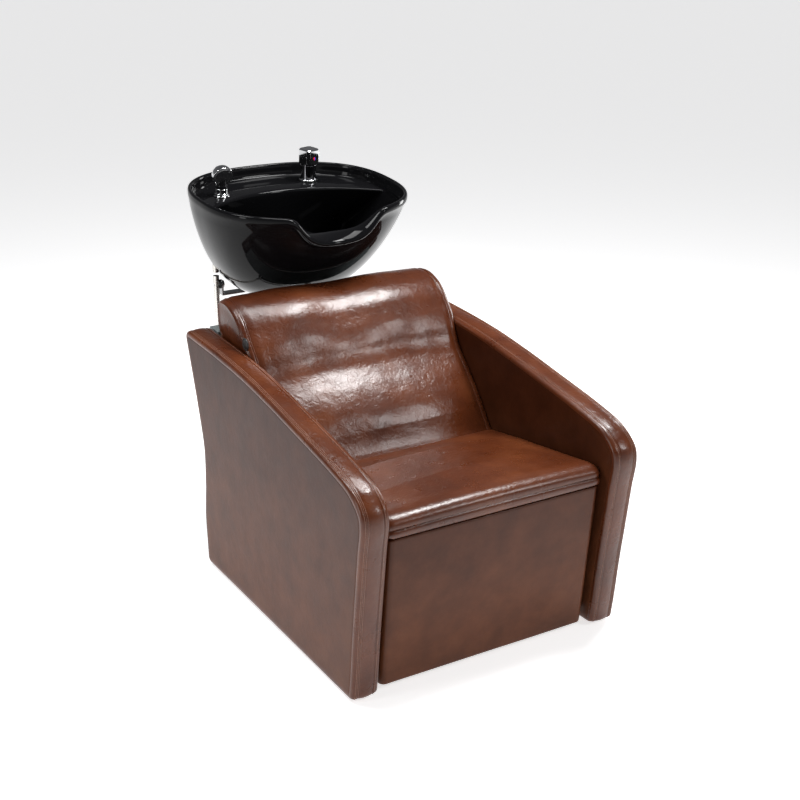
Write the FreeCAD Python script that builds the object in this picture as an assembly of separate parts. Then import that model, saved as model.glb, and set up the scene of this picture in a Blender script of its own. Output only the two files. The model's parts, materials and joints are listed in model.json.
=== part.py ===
import FreeCAD, Part
import math
import os

from FreeCAD import Matrix, Vector

os.makedirs("parts", exist_ok=True)

# Shampoo backwash unit, millimetres. +Z is up, +Y points from the sitter's feet to the bowl,
# and -X is the sitter's right. Shapes are drawn with y = 0 at the arms' front bottom edge,
# then moved so that the origin is the bottom centre of the whole unit.

# ---- driving dimensions: arms and seat ----
UNIT_HALF_WIDTH = 350.0
ARM_THICKNESS = 65.0
ARM_OUTER_SKIN = 8.0
ARM_INNER_PAD = 27.0
ARM_BAND = 12.0
ARM_BOTTOM = 6.0
ARM_FRONT_REACH = -60.0
ARM_INNER = UNIT_HALF_WIDTH - ARM_THICKNESS

BOARD = 18.0
SIDE_BOARD_INNER = ARM_INNER - BOARD
SEAT_BOX_BOTTOM = 30.0
SEAT_BOX_TOP = 318.0
SEAT_BOX_FRONT = 52.0
SEAT_BOX_REAR = 716.0
DECK_THICKNESS = 12.0
FRONT_PANEL_HALF_WIDTH = 270.0
FRONT_PANEL_TOP = 374.0
FRONT_PANEL_BOTTOM = 12.0
SEAT_HALF_WIDTH = 279.0

BACK_HALF_WIDTH = 283.0
BACK_REAR_TOP = (768.0, 615.0)
BACK_REAR_BOTTOM = (560.0, 335.0)
BACK_BOARD = 15.0

REAR_PANEL_FRONT = 742.0
REAR_PANEL_BACK = 750.0
REAR_PANEL_SPLIT = 331.0
COVER_TOP = 613.0
COVER_THICKNESS = 12.0
COVER_FRONT = 783.0
COVER_BACK = 838.0

# ---- driving dimensions: bowl ----
BOWL_HALF_X = 272.0
BOWL_HALF_V = 243.0
BOWL_CENTRE_Y = 890.0
BOWL_CENTRE_Z = 919.0
BOWL_PITCH = 5.8
BOWL_DEPTH = 280.0
BOWL_POWER = 1.367
BOWL_REAR_POWER = 5.0
BOWL_BASE_SCALE = 0.364
BOWL_BASE_SHIFT = 85.0
BOWL_EXPONENT = 2.5
BOWL_WALL = 11.0
NOTCH_HALF_WIDTH = 106.0
NOTCH_DEPTH = 60.0
NOTCH_SCOOP = 62.0
NOTCH_SPREAD = 72.0
LEDGE_DEPTH = 33.0
LEDGE_THICKNESS = 14.0
BASIN_FLOOR = 262.0
BASIN_REAR = 108.0
LEDGE_CURVE = 140.0
LEDGE_BLEND = 24.0
BASIN_FLOOR_HALF = 60.0
DRAIN_V = 85.0

# ---- driving dimensions: stand, taps and fixings ----
POST_X = 192.0
POST_Y = 1000.0
POST_RADIUS = 8.0
POST_WALL = 1.5
POST_TOP = 694.0
PIVOT_Z = 670.0
PIVOT_RADIUS = 5.0
RUNNING_GAP = 0.05
BASE_PLATE = 6.0
ANCHOR_X = 200.0
ANCHOR_Y = 28.0
ANCHOR_RADIUS = 5.5
MIXER_X = 112.0
MIXER_V = 162.5
MIXER_TURN = 16.0
HANDSET_X = -160.0
HANDSET_V = 117.0

PITCH = math.radians(BOWL_PITCH)
BOWL_REAR_Y = BOWL_CENTRE_Y + BOWL_HALF_V * math.cos(PITCH)
UNIT_CENTRE_Y = (ARM_FRONT_REACH + BOWL_REAR_Y) / 2.0

X = Vector(1, 0, 0)
Y = Vector(0, 1, 0)
Z = Vector(0, 0, 1)


# ---- helpers ----

# Tilt yoke: 4 mm flange disc under the bowl, its two arms and the ear plates beside the posts.
YOKE_TOP = BOWL_DEPTH + 4.0
YOKE_BOTTOM = YOKE_TOP + 4.0
EAR_OUT = 180.5
EAR_IN = 176.5
EAR_RADIUS = 12.0
FLANGE_RADIUS = 74.0


def save(name, *solids):
    """Writes one node; several solids stay separate in one compound."""
    shape = solids[0] if len(solids) == 1 else Part.makeCompound(list(solids))
    shape = shape.copy()
    shape.translate(Vector(0, -UNIT_CENTRE_Y, 0))
    shape.exportStep("parts/" + name + ".step")


def block(x0, x1, y0, y1, z0, z1):
    return Part.makeBox(x1 - x0, y1 - y0, z1 - z0, Vector(x0, y0, z0))


def mirrored_block(sign, x0, x1, y0, y1, z0, z1):
    """A block given by its distances from the middle plane, on the side that sign names."""
    low, high = sorted((sign * x0, sign * x1))
    return block(low, high, y0, y1, z0, z1)


def rod(radius, start, end):
    axis = end - start
    return Part.makeCylinder(radius, axis.Length, start, axis)


def pipe(outer, inner, start, end):
    return rod(outer, start, end).cut(rod(inner, start, end))


def hexagon(across, start, end, bore):
    """A hexagonal nut between two points with a round bore."""
    axis = end - start
    radius = across / math.sqrt(3.0)
    corners = [Vector(radius * math.cos(k * math.pi / 3), radius * math.sin(k * math.pi / 3), 0) for k in range(7)]
    nut = Part.Face(Part.makePolygon(corners)).extrude(Vector(0, 0, axis.Length))
    nut.Placement = FreeCAD.Placement(start, FreeCAD.Rotation(Z, axis))
    return nut.cut(rod(bore, start, end))


def spline(points):
    curve = Part.BSplineCurve()
    curve.interpolate([Vector(0, y, z) for y, z in points])
    return curve.toShape()


def line(a, b):
    return Part.makeLine(Vector(0, a[0], a[1]), Vector(0, b[0], b[1]))


def arc(a, b, c):
    return Part.Arc(Vector(0, *a), Vector(0, *b), Vector(0, *c)).toShape()


def slab(face, x0, x1):
    """Extrudes a face drawn in the YZ plane from x0 to x1."""
    moved = face.copy()
    moved.translate(Vector(x0, 0, 0))
    return moved.extrude(Vector(x1 - x0, 0, 0))


def polygon_slab(points, x0, x1):
    wire = Part.makePolygon([Vector(0, y, z) for y, z in points + points[:1]])
    return slab(Part.Face(wire), x0, x1)


# ---- arms ----
def arm_face(inset):
    """The arm's side outline, drawn in by inset on every side."""
    low = ARM_BOTTOM + inset
    front = ARM_FRONT_REACH + inset
    slant = 0.7 * inset
    edges = [
        spline([(inset, low), (inset - 20, 170), (inset - 50, 370), (front, 424)]),
        arc((front, 424), (slant - 43, 475 - slant), (17, 509 - inset)),
        spline([(17, 509 - inset), (225, 551 - inset), (500, 595 - inset), (822, 615 - inset)]),
        arc((822, 615 - inset), (833 - slant, 610 - slant), (837 - inset, 598)),
        spline([(837 - inset, 598), (790 - inset, 440), (763 - inset, 320), (781 - inset, 140), (779 - inset, low)]),
        line((779 - inset, low), (inset, low)),
    ]
    return Part.Face(Part.Wire(edges))


def bolt_line(sign, y, z):
    """End points of one arm bolt: head face, and the tip inside the arm core."""
    return Vector(sign * SIDE_BOARD_INNER, y, z), Vector(sign * (ARM_INNER + 40.0), y, z)


def arm_bolt_places():
    return [(y, z) for y in (140.0, 620.0) for z in (90.0, 250.0)]


def make_arms():
    outline = arm_face(0)
    inner_outline = arm_face(ARM_BAND)
    for side, sign in (("right", -1), ("left", 1)):
        holes = [rod(4.0, *bolt_line(sign, y, z)) for y, z in arm_bolt_places()]
        outer = sign * UNIT_HALF_WIDTH
        inner = sign * ARM_INNER
        skin = outer - sign * ARM_OUTER_SKIN
        pad = inner + sign * ARM_INNER_PAD
        band = slab(outline, inner, outer).cut(slab(inner_outline, inner, outer))
        save("arm_band_" + side, band)
        save("arm_outer_cover_" + side, slab(inner_outline, skin, outer))
        save("arm_inner_pad_" + side, slab(inner_outline, inner, pad).cut(Part.makeCompound(holes)))
        save("arm_core_" + side, slab(inner_outline, pad, skin).cut(Part.makeCompound(holes)))


def make_arm_bolts():
    bolts = []
    for sign in (-1, 1):
        for y, z in arm_bolt_places():
            head, tip = bolt_line(sign, y, z)
            bolts.append(rod(4.0, head, tip).fuse(rod(8.0, head - X * sign * 5.0, head)))
    save("arm_bolts", *bolts)


def make_glides():
    middle = ARM_INNER + ARM_THICKNESS / 2.0
    glides = []
    for sign in (-1, 1):
        for y in (45.0, 735.0):
            foot = Vector(sign * middle, y, 0)
            glides.append(rod(16.0, foot, foot + Z * ARM_BOTTOM))
    save("glides", *glides)


# ---- seat box ----
def make_seat_box():
    boards = []
    for sign in (-1, 1):
        board = mirrored_block(sign, SIDE_BOARD_INNER, ARM_INNER, SEAT_BOX_FRONT, SEAT_BOX_REAR,
                               SEAT_BOX_BOTTOM, SEAT_BOX_TOP)
        holes = [rod(4.0, *bolt_line(sign, y, z)) for y, z in arm_bolt_places()]
        boards.append(board.cut(Part.makeCompound(holes)))
    save("seat_side_boards", *boards)
    save("seat_deck", block(-ARM_INNER + 1, ARM_INNER - 1, SEAT_BOX_FRONT, 545.0,
                            SEAT_BOX_TOP, SEAT_BOX_TOP + DECK_THICKNESS))
    half = FRONT_PANEL_HALF_WIDTH
    board = [(34, FRONT_PANEL_BOTTOM), (-3, SEAT_BOX_TOP), (SEAT_BOX_FRONT, SEAT_BOX_TOP),
             (SEAT_BOX_FRONT, FRONT_PANEL_BOTTOM)]
    save("seat_front_board", polygon_slab(board, -SIDE_BOARD_INNER, SIDE_BOARD_INNER))
    panel = [(18, FRONT_PANEL_BOTTOM), (-26, FRONT_PANEL_TOP), (-10, FRONT_PANEL_TOP), (34, FRONT_PANEL_BOTTOM)]
    save("seat_front_panel", polygon_slab(panel, -half, half))


def make_seat_cushion():
    edges = [
        line((-2, SEAT_BOX_TOP + DECK_THICKNESS + 0.5), (-8, FRONT_PANEL_TOP + 1)),
        line((-8, FRONT_PANEL_TOP + 1), (-28, FRONT_PANEL_TOP + 3)),
        arc((-28, FRONT_PANEL_TOP + 3), (-27, 408), (0, 424)),
        spline([(0, 424), (190, 418), (402, 386)]),
        line((402, 386), (402, SEAT_BOX_TOP + DECK_THICKNESS + 0.5)),
        line((402, SEAT_BOX_TOP + DECK_THICKNESS + 0.5), (-2, SEAT_BOX_TOP + DECK_THICKNESS + 0.5)),
    ]
    face = Part.Face(Part.Wire(edges))
    save("seat_cushion", slab(face, -SEAT_HALF_WIDTH, SEAT_HALF_WIDTH))


# ---- back ----
def board_rear_y(z):
    """The y of the back board's rear face at height z."""
    run = (BACK_REAR_TOP[0] - BACK_REAR_BOTTOM[0]) / (BACK_REAR_TOP[1] - BACK_REAR_BOTTOM[1])
    offset = BACK_BOARD * math.hypot(1.0, run)
    return BACK_REAR_BOTTOM[0] + (z - BACK_REAR_BOTTOM[1]) * run + offset


def make_back():
    edges = [
        spline([(406, 338), (418, 368), (472, 441), (519, 495), (560, 540), (587, 591), (622, 642), (655, 678)]),
        spline([(655, 678), (692, 699), (735, 706), (764, 697), (772, 676)]),
        line((772, 676), BACK_REAR_TOP),
        line(BACK_REAR_TOP, BACK_REAR_BOTTOM),
        line(BACK_REAR_BOTTOM, (406, 338)),
    ]
    face = Part.Face(Part.Wire(edges))
    save("back_cushion", slab(face, -BACK_HALF_WIDTH, BACK_HALF_WIDTH))
    low = BACK_REAR_BOTTOM
    high = (BACK_REAR_TOP[0] - 8.0, BACK_REAR_TOP[1] - 8.0 * 280.0 / 208.0)
    slope = math.atan2(high[1] - low[1], high[0] - low[0])
    step = (BACK_BOARD * math.sin(slope), -BACK_BOARD * math.cos(slope))
    board = [low, high, (high[0] + step[0], high[1] + step[1]), (low[0] + step[0], low[1] + step[1])]
    save("back_board", polygon_slab(board, -BACK_HALF_WIDTH, BACK_HALF_WIDTH))
    gussets = []
    for sign in (-1, 1):
        reach = board_rear_y(470.0)
        shape = [(board_rear_y(340.0), 340.0), (reach, 470.0), (reach, SEAT_BOX_TOP), (board_rear_y(340.0), SEAT_BOX_TOP)]
        x0, x1 = sorted((sign * 268.0, sign * 272.0))
        gussets.append(polygon_slab(shape, x0, x1))
    save("back_gussets", *gussets)
    tag = Vector(-BACK_HALF_WIDTH, 611.0, 627.0)
    save("side_tag", rod(15.0, tag, tag - X * 1.8))


# ---- rear of the chair ----
def panel_screw_places():
    return [(x, z) for x in (-255.0, 0.0, 255.0) for z in (48.0, 318.0)]


def make_rear():
    half = ARM_INNER - 1.0
    lower = block(-half, half, 718.0, REAR_PANEL_FRONT, 30.0, 70.0)
    middle = block(-half, half, 718.0, REAR_PANEL_FRONT, 300.0, 345.0)
    upper = block(-half, half, 781.0, 799.0, 562.0, COVER_TOP - COVER_THICKNESS)
    panel = block(-half, half, REAR_PANEL_FRONT, REAR_PANEL_BACK, FRONT_PANEL_BOTTOM, REAR_PANEL_SPLIT)
    screws = []
    for x, z in panel_screw_places():
        place = Vector(x, REAR_PANEL_BACK, z)
        shank = rod(2.2, place, place - Y * 22.0)
        panel = panel.cut(shank)
        lower = lower.cut(shank)
        middle = middle.cut(shank)
        screws.append(shank.fuse(rod(5.0, place, place + Y * 2.5)))
    save("rear_cross_rails", lower, middle, upper)
    save("rear_access_panel", panel)
    save("rear_panel_screws", *screws)
    top = COVER_TOP - COVER_THICKNESS
    outline = [(REAR_PANEL_FRONT, REAR_PANEL_SPLIT + 1), (REAR_PANEL_BACK, REAR_PANEL_SPLIT + 1), (824, top), (816, top)]
    save("rear_upper_panel", polygon_slab(outline, -half, half))
    save("rear_top_cover", block(-half, half, COVER_FRONT, COVER_BACK, top, COVER_TOP))


# ---- bowl frame: x, v towards the bowl's rear, w down from the rim plane ----
def to_world(shape):
    """Turns a shape drawn at (x, v, -w) into the pitched place of the bowl."""
    placed = shape.copy()
    placed.rotate(Vector(0, 0, 0), X, BOWL_PITCH)
    placed.translate(Vector(0, BOWL_CENTRE_Y, BOWL_CENTRE_Z))
    return placed


def wall_ratio(w):
    """1 at the rim, falling to 0 at the bowl's base."""
    return math.sqrt(max(0.0, 1.0 - (max(w, 0.0) / BOWL_DEPTH) ** BOWL_POWER))


def outer_section(w):
    """Half width, front v and rear v of the outside at depth w."""
    scale = BOWL_BASE_SCALE + (1.0 - BOWL_BASE_SCALE) * wall_ratio(w)
    shift = BOWL_BASE_SHIFT * w / BOWL_DEPTH
    base_rear = BOWL_BASE_SHIFT + BOWL_BASE_SCALE * BOWL_HALF_V
    upright = BOWL_HALF_V - w * math.tan(PITCH)
    rear = base_rear + (upright - base_rear) * math.sqrt(max(0.0, 1.0 - (w / BOWL_DEPTH) ** BOWL_REAR_POWER))
    return scale * BOWL_HALF_X, shift - scale * BOWL_HALF_V, rear


def section_wire(half_x, front, rear, w, scoop=0.0, ledge=None):
    """Closed rounded outline, drawn back by scoop at the neck and held behind by a ledge."""
    points = []
    count = 40
    half_v = (rear - front) / 2.0
    middle = (rear + front) / 2.0
    fade = max(0.0, 1.0 - max(w, 0.0) / 150.0)
    for k in range(count):
        turn = 2.0 * math.pi * k / count
        c, s = math.cos(turn), math.sin(turn)
        x = half_x * math.copysign(abs(c) ** (2.0 / BOWL_EXPONENT), c)
        v = middle + half_v * math.copysign(abs(s) ** (2.0 / BOWL_EXPONENT), s)
        if s < 0.0:
            v += scoop * fade * math.exp(-(x / NOTCH_SPREAD) ** 2)
        if ledge is not None:
            edge = ledge - LEDGE_CURVE * fade * (x / half_x) ** 2
            v = (v + edge - math.sqrt((v - edge) ** 2 + LEDGE_BLEND ** 2)) / 2.0
        points.append(Vector(x, v, -w))
    curve = Part.BSplineCurve()
    curve.interpolate(points, PeriodicFlag=True)
    return Part.Wire(curve.toShape())


def depth_steps(top, bottom):
    """Depths that crowd towards the bottom, where the wall turns in."""
    ratios = (1.0, 0.99, 0.96, 0.9, 0.8, 0.66, 0.5, 0.34, 0.18, 0.0)
    return [top + (bottom - top) * (1.0 - g * g) ** (1.0 / BOWL_POWER) for g in ratios]


def outer_wall():
    return Part.makeLoft([section_wire(*outer_section(w), w) for w in depth_steps(0.0, BOWL_DEPTH)], True)


def basin_loft(wall, top, bottom):
    """The basin's space in front of the ledge, held wall away from the outside."""
    wires = []
    for w in depth_steps(top, bottom):
        depth = BOWL_DEPTH * (w - top) / (bottom - top)
        half_x, front, rear = outer_section(depth)
        ledge = BASIN_REAR + (DRAIN_V + BASIN_FLOOR_HALF - BASIN_REAR) * (1.0 - wall_ratio(depth))
        ledge += BOWL_WALL - wall
        wires.append(section_wire(half_x - wall, front + wall, rear - wall, w, NOTCH_SCOOP, ledge))
    return Part.makeLoft(wires, True)


def tray_loft():
    """The shallow space over the ledge, open above the rim."""
    wires = []
    for w in (-25.0, 0.0, LEDGE_DEPTH):
        half_x, front, rear = outer_section(max(w, 0.0))
        wires.append(section_wire(half_x - BOWL_WALL, front + BOWL_WALL, rear - BOWL_WALL, w, NOTCH_SCOOP))
    return Part.makeLoft(wires, True)


def service_pocket():
    """The space under the ledge that takes the tap shanks, open below."""
    half = 185.0
    pocket = Part.makeBox(2 * half, 150.0, 300.0, Vector(-half, 60.0, -LEDGE_DEPTH - LEDGE_THICKNESS - 300.0))
    wires = []
    for w in (30.0, 90.0, 160.0, 215.0):
        half_x, front, rear = outer_section(w)
        wires.append(section_wire(half_x - BOWL_WALL, front + BOWL_WALL, rear - BOWL_WALL, w))
    return pocket.common(Part.makeLoft(wires, True))


def notch_cutter():
    """A half-round trough along v that lowers the front of the rim."""
    trough = Part.makeCylinder(NOTCH_HALF_WIDTH, 200.0, Vector(0, -330.0, 0), Y)
    flatten = Matrix()
    flatten.scale(1.0, 1.0, NOTCH_DEPTH / NOTCH_HALF_WIDTH)
    return trough.transformGeometry(flatten)


def pocket_mouth():
    """The cut through the rear underside that opens the service pocket."""
    return Part.makeBox(300.0, 120.0, 120.0, Vector(-150.0, 140.0, -300.0))


def make_bowl():
    skin = basin_loft(1.0, 5.0, BOWL_DEPTH - 2.0)
    pocket = service_pocket().fuse(pocket_mouth()).cut(skin)
    shell = outer_wall().cut(basin_loft(BOWL_WALL, -4.0, BASIN_FLOOR))
    shell = shell.cut(tray_loft())
    shell = shell.cut(pocket)
    shell = shell.cut(notch_cutter())
    holes = [rod(24.0, at(0, DRAIN_V, 200.0), at(0, DRAIN_V, 300.0))]
    holes.append(rod(17.0, at(MIXER_X, MIXER_V, 20.0), at(MIXER_X, MIXER_V, 60.0)))
    holes.append(rod(16.0, at(HANDSET_X, HANDSET_V, 20.0), at(HANDSET_X, HANDSET_V, 60.0)))
    for x, v in yoke_screw_places():
        holes.append(rod(4.0, at(x, v, 268.0), at(x, v, 300.0)))
    shell = shell.cut(Part.makeCompound(holes))
    shell = shell.removeSplitter()
    solids = sorted(shell.Solids, key=lambda solid: solid.Volume)
    save("bowl", to_world(solids[-1]))


def at(x, v, w):
    """A point of the bowl frame before it is pitched."""
    return Vector(x, v, -w)


# ---- yoke and stand ----
def pivot_local():
    """The pivot's v and w in the bowl frame."""
    dy = POST_Y - BOWL_CENTRE_Y
    dz = PIVOT_Z - BOWL_CENTRE_Z
    return dy * math.cos(PITCH) + dz * math.sin(PITCH), dy * math.sin(PITCH) - dz * math.cos(PITCH)


def yoke_screw_places():
    reach = 56.0
    return [(reach * math.cos(a), DRAIN_V + reach * math.sin(a)) for a in [math.radians(45 + 90 * k) for k in range(4)]]


def make_yoke():
    v, w = pivot_local()
    plate = rod(FLANGE_RADIUS, at(0, DRAIN_V, YOKE_BOTTOM), at(0, DRAIN_V, YOKE_TOP))
    thick = YOKE_BOTTOM - YOKE_TOP
    strap = Part.makeBox(2 * EAR_OUT, 2 * EAR_RADIUS, thick, at(-EAR_OUT, v - EAR_RADIUS, YOKE_BOTTOM))
    shape = plate.fuse(strap)
    for sign in (-1, 1):
        low, high = sorted((sign * EAR_IN, sign * EAR_OUT))
        ear = Part.makeBox(EAR_OUT - EAR_IN, 2 * EAR_RADIUS, YOKE_BOTTOM - w, at(low, v - EAR_RADIUS, YOKE_BOTTOM))
        shape = shape.fuse(ear).fuse(rod(EAR_RADIUS, at(low, v, w), at(high, v, w)))
    shape = shape.cut(rod(PIVOT_RADIUS + RUNNING_GAP, at(-200, v, w), at(200, v, w)))
    shape = shape.cut(rod(26.0, at(0, DRAIN_V, YOKE_BOTTOM + 5), at(0, DRAIN_V, YOKE_TOP - 5)))
    pad = rod(FLANGE_RADIUS, at(0, DRAIN_V, YOKE_TOP), at(0, DRAIN_V, BOWL_DEPTH))
    pad = pad.cut(rod(26.0, at(0, DRAIN_V, YOKE_TOP + 1), at(0, DRAIN_V, BOWL_DEPTH - 1)))
    screws = []
    for x, s in yoke_screw_places():
        shank = rod(4.0, at(x, s, YOKE_BOTTOM), at(x, s, 268.0))
        shape = shape.cut(shank)
        pad = pad.cut(shank)
        screws.append(to_world(shank.fuse(rod(7.0, at(x, s, YOKE_BOTTOM + 5.0), at(x, s, YOKE_BOTTOM)))))
    save("tilt_yoke", to_world(shape.removeSplitter()))
    save("bowl_pad", to_world(pad))
    save("yoke_screws", *screws)


def post_foot(sign):
    return Vector(sign * POST_X, POST_Y, BASE_PLATE)


def make_stand():
    base = block(-232.0, 232.0, POST_Y - 40.0, POST_Y + 40.0, 0.0, BASE_PLATE)
    for sx in (-1, 1):
        for sy in (-1, 1):
            hole = Vector(sx * ANCHOR_X, POST_Y + sy * ANCHOR_Y, 0)
            base = base.cut(rod(ANCHOR_RADIUS, hole, hole + Z * BASE_PLATE))
    posts = []
    for sign in (-1, 1):
        foot = post_foot(sign)
        top = Vector(foot.x, foot.y, POST_TOP)
        pivot = Vector(foot.x, foot.y, PIVOT_Z)
        cross = rod(PIVOT_RADIUS, pivot - X * 20.0, pivot + X * 20.0)
        posts.append(pipe(POST_RADIUS, POST_RADIUS - POST_WALL, foot, top).cut(cross))
        base = base.fuse(pipe(14.0, POST_RADIUS, foot, foot + Z * 28.0))
    save("stand_base_plate", base)
    save("stand_posts", *posts)
    inner = POST_X - POST_RADIUS
    tie_height = 180.0
    tie = rod(7.0, Vector(-inner - 4, POST_Y, tie_height), Vector(inner + 4, POST_Y, tie_height))
    for sign in (-1, 1):
        tie = tie.cut(rod(POST_RADIUS, post_foot(sign), post_foot(sign) + Z * 690.0))
    save("stand_cross_tie", tie)


def make_links():
    bolts = []
    links = []
    for height in (95.0, 250.0):
        for sign in (-1, 1):
            post = Vector(sign * POST_X, POST_Y, height)
            plate = block(post.x - 24.0, post.x + 24.0, REAR_PANEL_BACK, REAR_PANEL_BACK + 4.0, height - 13.0, height + 13.0)
            bar = block(post.x - 2.5, post.x + 2.5, REAR_PANEL_BACK + 4.0, POST_Y, height - 12.0, height + 12.0)
            clamp = rod(12.5, post - Z * 12.0, post + Z * 12.0)
            link = plate.fuse(bar).fuse(clamp).cut(rod(POST_RADIUS, post - Z * 20.0, post + Z * 20.0))
            for step in (-16.0, 16.0):
                face = Vector(post.x + step, REAR_PANEL_BACK + 4.0, height)
                shank = rod(3.0, face - Y * 4.0, face)
                link = link.cut(shank)
                bolts.append(shank.fuse(rod(6.0, face, face + Y * 4.0)))
            links.append(link.removeSplitter())
    save("chair_links", *links)
    save("link_bolts", *bolts)


def make_pivots():
    washers = []
    for side, sign in (("right", -1), ("left", 1)):
        def on_axis(distance):
            return Vector(sign * distance, POST_Y, PIVOT_Z)
        pin = rod(PIVOT_RADIUS, on_axis(EAR_IN - 0.2), on_axis(POST_X + 7.5))
        pin = pin.fuse(rod(9.0, on_axis(EAR_IN - 4.0), on_axis(EAR_IN - 0.2)))
        if sign > 0:
            pin = pin.fuse(rod(4.0, on_axis(POST_X + 7.5), on_axis(POST_X + POST_RADIUS + 16.0)))
        save("pivot_pin_" + side, pin)
        washers.append(pipe(12.0, PIVOT_RADIUS, on_axis(EAR_OUT + 0.1), on_axis(POST_X - POST_RADIUS - 0.1)))
    save("friction_washers", *washers)
    start = POST_X + POST_RADIUS + 0.3
    hub = rod(12.0, Vector(start, POST_Y, PIVOT_Z), Vector(start + 6.0, POST_Y, PIVOT_Z))
    disc = rod(20.0, Vector(start + 6.0, POST_Y, PIVOT_Z), Vector(start + 20.0, POST_Y, PIVOT_Z))
    for k in range(6):
        turn = math.radians(60 * k)
        centre = Vector(start + 4.0, POST_Y + 24.0 * math.cos(turn), PIVOT_Z + 24.0 * math.sin(turn))
        disc = disc.cut(rod(7.0, centre, centre + X * 20.0))
    knob = hub.fuse(disc).cut(rod(4.0 + RUNNING_GAP, Vector(start - 1, POST_Y, PIVOT_Z), Vector(start + 18.0, POST_Y, PIVOT_Z)))
    save("tilt_knob", knob)


# ---- waste ----
def make_waste():
    top = BASIN_FLOOR

    def axis(w):
        return at(0, DRAIN_V, w)

    gasket = pipe(34.0, 23.5, axis(top), axis(top - 1.5))
    flange = rod(34.0, axis(top - 1.5), axis(top - 5.0)).fuse(rod(23.5, axis(328.0), axis(top - 1.5)))
    flange = flange.cut(rod(19.0, axis(330.0), axis(top - 10.0)))
    save("drain_gasket", to_world(gasket))
    save("drain_flange", to_world(flange))
    save("drain_nut", to_world(hexagon(62.0, axis(YOKE_BOTTOM + 11.0), axis(YOKE_BOTTOM), 23.5)))
    nut = hexagon(56.0, axis(340.0), axis(316.0), 15.9).cut(rod(23.55, axis(336.0), axis(310.0)))
    save("tailpiece_nut", to_world(nut))
    collar = pipe(23.5, 13.5, axis(336.0), axis(328.0))
    neck = pipe(15.5, 13.5, axis(346.0), axis(336.0))
    spigot = pipe(16.0, 13.5, axis(400.0), axis(346.0))
    save("tailpiece", to_world(spigot.fuse(neck).fuse(collar)))
    cup = rod(18.0, axis(top + 28.0), axis(top - 5.0)).cut(rod(16.5, axis(top + 26.5), axis(top - 6.0)))
    rim = pipe(29.0, 16.5, axis(top - 5.0), axis(top - 7.0))
    basket = cup.fuse(rim)
    for ring in range(3):
        for k in range(8):
            turn = 45 * k + 22.5 * (ring % 2)
            hole = Part.makeCylinder(2.0, 30.0, axis(top + 6.0 + 8.0 * ring), X)
            hole.rotate(axis(0), Z, turn)
            basket = basket.cut(hole)
    save("hair_strainer", to_world(basket))


# ---- mixer ----
def mixer_axis(height):
    """A point on the mixer's axis, height above the ledge."""
    return at(MIXER_X, MIXER_V, LEDGE_DEPTH - height)


def turned(shape):
    """Turns a lever piece to its rest position about the mixer's axis."""
    placed = shape.copy()
    placed.rotate(mixer_axis(0), Z, MIXER_TURN)
    return to_world(placed)


def make_mixer():
    under = -LEDGE_THICKNESS
    save("mixer_gasket", to_world(pipe(25.0, 16.0, mixer_axis(0), mixer_axis(1.5))))
    save("mixer_base_ring", to_world(pipe(26.0, 16.0, mixer_axis(1.5), mixer_axis(7.0))))
    body = rod(20.5, mixer_axis(7.0), mixer_axis(44.0)).fuse(rod(16.0, mixer_axis(-48.0), mixer_axis(7.0)))
    body = body.cut(rod(12.0 + RUNNING_GAP, mixer_axis(18.0), mixer_axis(45.0)))
    save("mixer_body", to_world(body))
    save("mixer_back_nut", to_world(hexagon(44.0, mixer_axis(under - 9.0), mixer_axis(under - 0.1), 16.0)))
    tails = []
    for sign in (-1, 1):
        start = mixer_axis(-48.0) + X * sign * 8.0
        tails.append(to_world(pipe(6.0, 4.0, start - Z * 24.0, start)))
    save("inlet_tails", *tails)
    hinge = mixer_axis(54.0) + Y * 16.0
    stem = rod(12.0, mixer_axis(18.3), mixer_axis(44.3)).fuse(rod(20.0, mixer_axis(44.3), mixer_axis(47.0)))
    lug = Part.makeBox(10.0, 12.0, 11.0, mixer_axis(46.0) + Vector(-5.0, 7.0, 0.0))
    lug = lug.cut(rod(2.0 + RUNNING_GAP, hinge - X * 10.0, hinge + X * 10.0))
    save("mixer_swivel", turned(stem.fuse(lug)))
    cap = Part.makeBox(44.0, 44.0, 39.0, mixer_axis(48.5) + Vector(-22.0, -23.0, 0.0))
    upright = [edge for edge in cap.Edges if abs(edge.tangentAt(edge.FirstParameter).z) > 0.9]
    cap = cap.makeChamfer(7.0, upright)
    top = [edge for edge in cap.Edges if edge.CenterOfMass.z > mixer_axis(87.0).z]
    cap = cap.makeChamfer(3.0, top)
    slot = Part.makeBox(11.0, 18.0, 15.5, mixer_axis(45.0) + Vector(-5.5, 4.0, 0.0))
    cap = cap.cut(slot)
    pin = rod(2.0, hinge - X * 14.0, hinge + X * 14.0)
    cap = cap.cut(pin)
    save("mixer_lever", turned(cap))
    save("lever_pin", turned(pin))
    front = mixer_axis(64.0) - Y * 23.0
    dot = rod(4.0, front - Y * 0.8, front)
    half = Part.makeBox(10.0, 10.0, 20.0, front + Vector(0.0, -5.0, -10.0))
    save("hot_mark", turned(dot.cut(half)))
    save("cold_mark", turned(dot.common(half)))


# ---- hand shower ----
def shower_axis(height):
    return at(HANDSET_X, HANDSET_V, LEDGE_DEPTH - height)


def revolve(points, origin, axis):
    """Turns a profile of (radius, height) points about an axis through origin."""
    wire = Part.makePolygon([Vector(r, 0, h) for r, h in points + points[:1]])
    solid = Part.Face(wire).revolve(Vector(0, 0, 0), Z, 360)
    solid.Placement = FreeCAD.Placement(origin, FreeCAD.Rotation(Z, axis))
    return solid


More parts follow.
